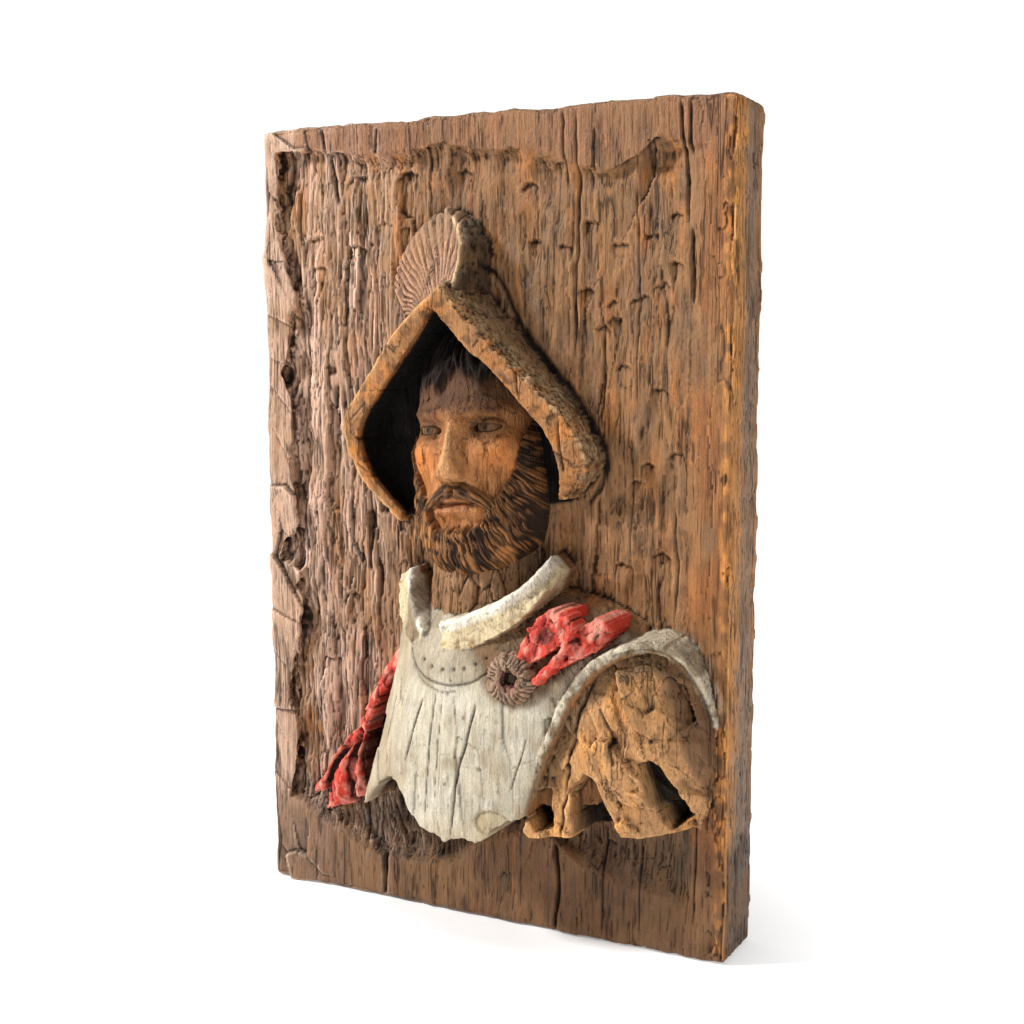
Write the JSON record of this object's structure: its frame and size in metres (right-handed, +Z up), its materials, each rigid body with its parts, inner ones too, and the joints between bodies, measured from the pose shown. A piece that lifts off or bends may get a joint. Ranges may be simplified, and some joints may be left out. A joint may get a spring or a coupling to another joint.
{
  "type": "carved wooden wall bust",
  "caption": "Thick upright wooden plank with a raised hand-cut border and a high-relief bust of a bearded soldier in a peaked helmet, collar, breastplate and cape; hangs by its flat back.",
  "frame": {"origin": "middle of the plank's flat back face, where it lies against the wall", "axes": "+Z up along the plank's height, +Y out of the back into the wall, carving faces -Y, +X to the viewer's right"},
  "size_m": [0.3845, 0.116, 0.5995],
  "materials": {
    "carved_wood": "hand-carved brown wood with a dull wax, worn ivory and red paint on collar, breastplate and cape"
  },
  "bodies": {
    "root": {"carved_plaque": "carved_wood"}
  },
  "joints": []
}
